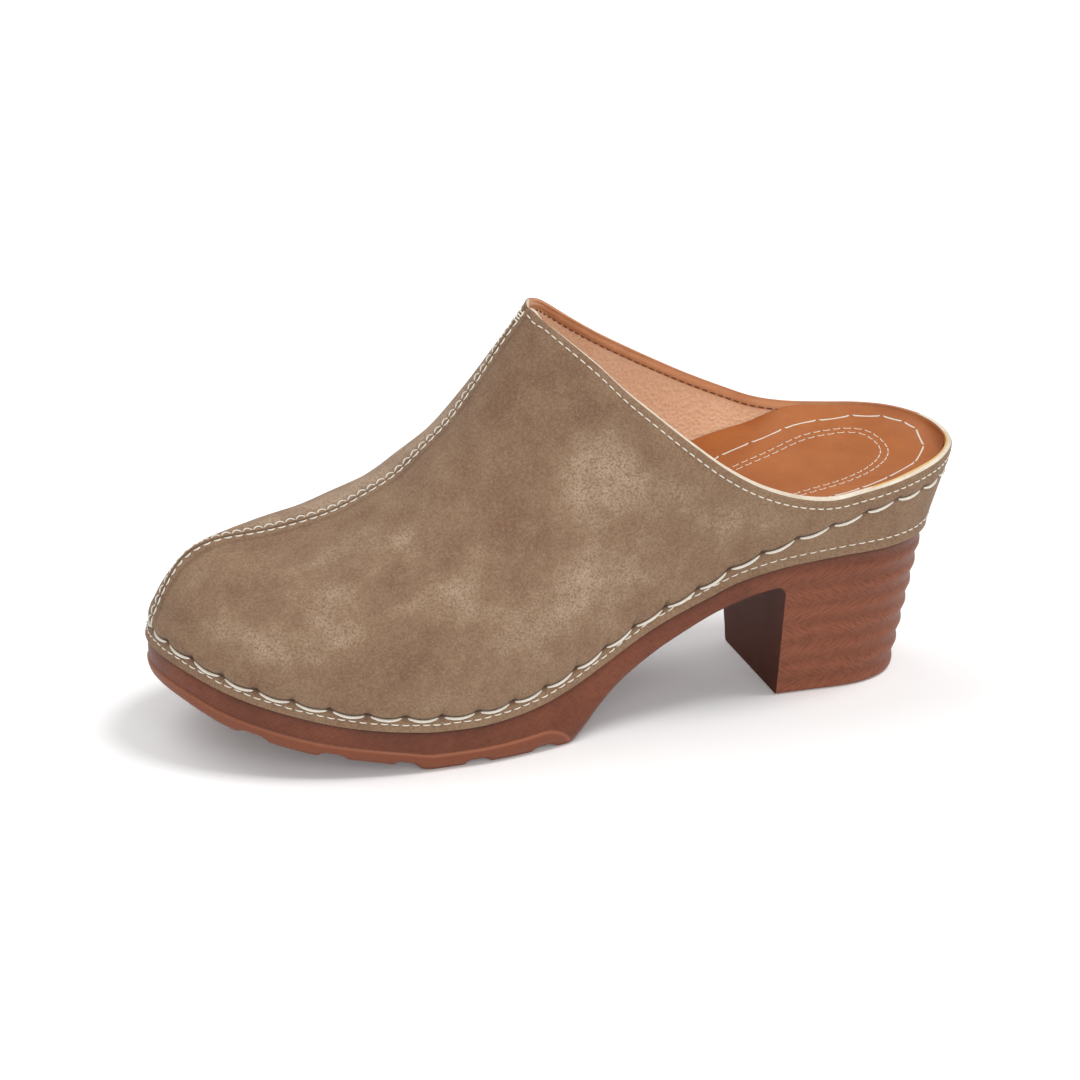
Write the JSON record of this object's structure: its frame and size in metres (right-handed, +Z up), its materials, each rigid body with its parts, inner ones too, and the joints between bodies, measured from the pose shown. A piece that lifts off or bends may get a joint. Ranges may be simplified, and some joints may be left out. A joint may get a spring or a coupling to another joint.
{
  "type": "block heel mule",
  "caption": "Women's slip-on mule for the left foot: soft leather upper, open back, moulded rubber sole with a block heel.",
  "frame": {"origin": "on the floor, under the middle of the shoe's bounding box", "axes": "+X towards the toe, +Y towards the little-toe side, +Z up; the shoe stands on its heel and forefoot at z = 0"},
  "size_m": [0.2462, 0.0924, 0.1218],
  "materials": {
    "taupe_nubuck": "matte",
    "tan_leather": "satin",
    "brown_rubber": "satin"
  },
  "bodies": {
    "root": {"upper": "taupe_nubuck", "insole": "tan_leather", "sole": "brown_rubber"}
  },
  "joints": []
}
